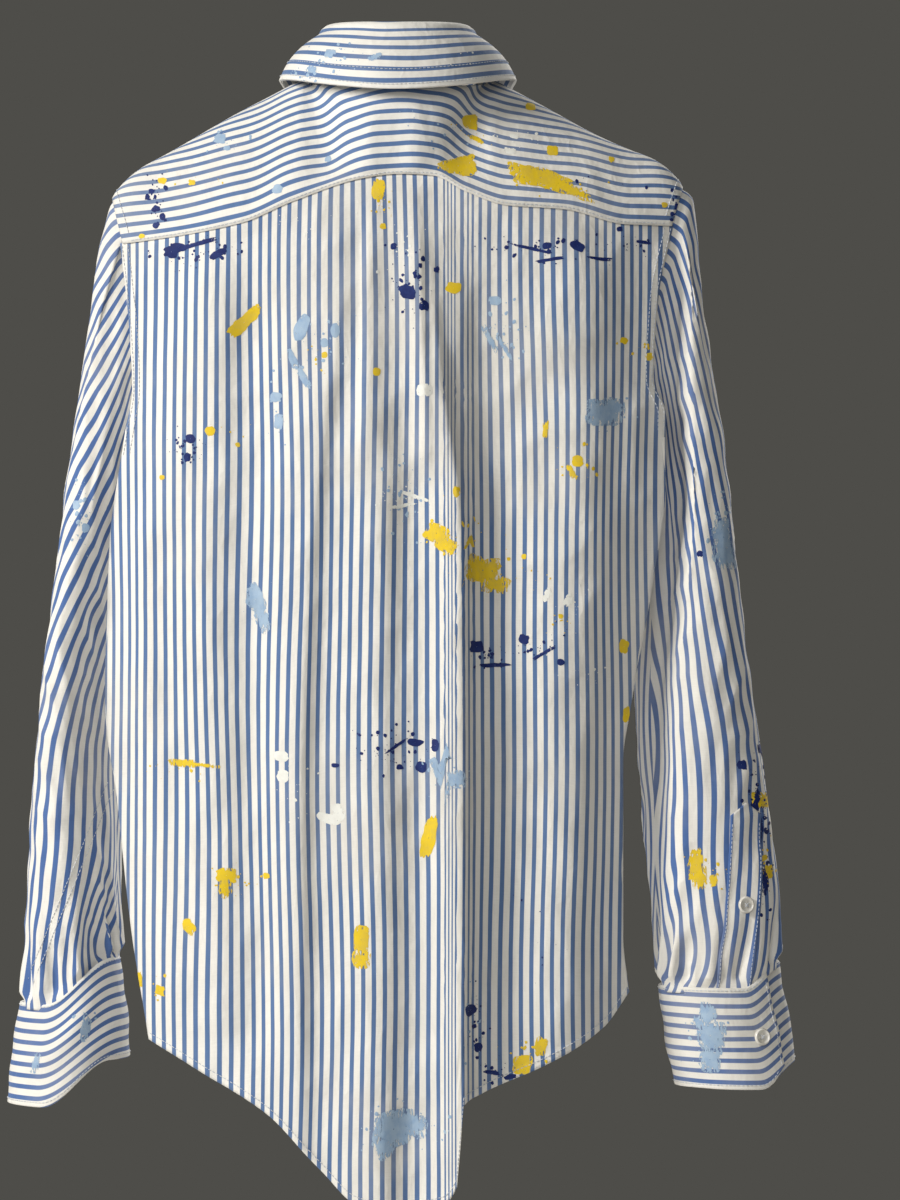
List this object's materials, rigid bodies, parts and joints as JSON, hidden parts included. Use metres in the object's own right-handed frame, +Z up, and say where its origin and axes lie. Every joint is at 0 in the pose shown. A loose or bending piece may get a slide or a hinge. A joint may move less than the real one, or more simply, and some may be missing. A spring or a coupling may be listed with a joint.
{
  "type": "artist smock",
  "caption": "Long-sleeved cotton artist's smock, striped and paint-marked, with a turned-down collar, buttoned cuffs and a shirt-tail back, in the shape it hangs.",
  "frame": {"origin": "middle of the neck opening between the two shoulder seams, at the height where the collar meets the back, where a hanger's neck rises", "axes": "+Z up along the garment, +Y towards the wearer's back, -Y towards the wearer's front, +X towards the wearer's left"},
  "size_m": [0.5254, 0.1472, 0.7719],
  "materials": {
    "striped_cotton": "yarn-dyed poplin with narrow blue and white stripes, soft, worn and marked with dried acrylic paint",
    "interlining": "stiff white non-woven, matte",
    "pearl_button": "pearly polyester resin, polished",
    "woven_label": "blank satin-woven tape"
  },
  "bodies": {
    "torso": {"yoke": "striped_cotton", "yoke_lining": "striped_cotton", "back_panel": "striped_cotton", "left_chest": "striped_cotton", "right_chest": "striped_cotton", "button_band_top": "striped_cotton", "placket_top": "striped_cotton", "collar_stand": "striped_cotton", "collar_stand_lining": "striped_cotton", "collar_leaf": "striped_cotton", "collar_interlining": "interlining", "undercollar": "striped_cotton", "left_sleeve_head": "striped_cotton", "right_sleeve_head": "striped_cotton", "collar_button": "pearl_button", "chest_button": "pearl_button", "neck_label": "woven_label"},
    "left_sleeve": {"left_sleeve": "striped_cotton", "left_sleeve_placket": "striped_cotton", "left_cuff": "striped_cotton", "left_cuff_interlining": "interlining", "left_cuff_lining": "striped_cotton", "left_placket_button": "pearl_button", "left_cuff_button": "pearl_button"},
    "right_sleeve": {"right_sleeve": "striped_cotton", "right_sleeve_placket": "striped_cotton", "right_cuff": "striped_cotton", "right_cuff_interlining": "interlining", "right_cuff_lining": "striped_cotton", "right_placket_button": "pearl_button", "right_cuff_button": "pearl_button"},
    "left_front": {"left_front": "striped_cotton", "button_band": "striped_cotton", "front_button_1": "pearl_button", "front_button_2": "pearl_button", "front_button_3": "pearl_button", "front_button_4": "pearl_button", "front_button_5": "pearl_button"},
    "right_front": {"right_front": "striped_cotton", "placket": "striped_cotton"}
  },
  "joints": [
    {"name": "left_sleeve_lift", "type": "hinge", "parent": "torso", "child": "left_sleeve", "pos_m": [0.18, -0.02, -0.236], "axis": [0, -1, 0], "range_deg": [0, 60]},
    {"name": "right_sleeve_lift", "type": "hinge", "parent": "torso", "child": "right_sleeve", "pos_m": [-0.176, -0.02, -0.236], "axis": [0, 1, 0], "range_deg": [0, 60]},
    {"name": "right_front_open", "type": "hinge", "parent": "torso", "child": "right_front", "pos_m": [-0.159, 0.008, -0.224], "axis": [0.0695, 0, -0.9976], "range_deg": [0, 50]},
    {"name": "left_front_open", "type": "hinge", "parent": "torso", "child": "left_front", "pos_m": [0.167, 0.008, -0.224], "axis": [0.0216, 0, 0.9998], "range_deg": [0, 30]}
  ],
  "couplings": [
    {"joint": "left_front_open", "follows": "right_front_open", "ratio": 0.6}
  ]
}
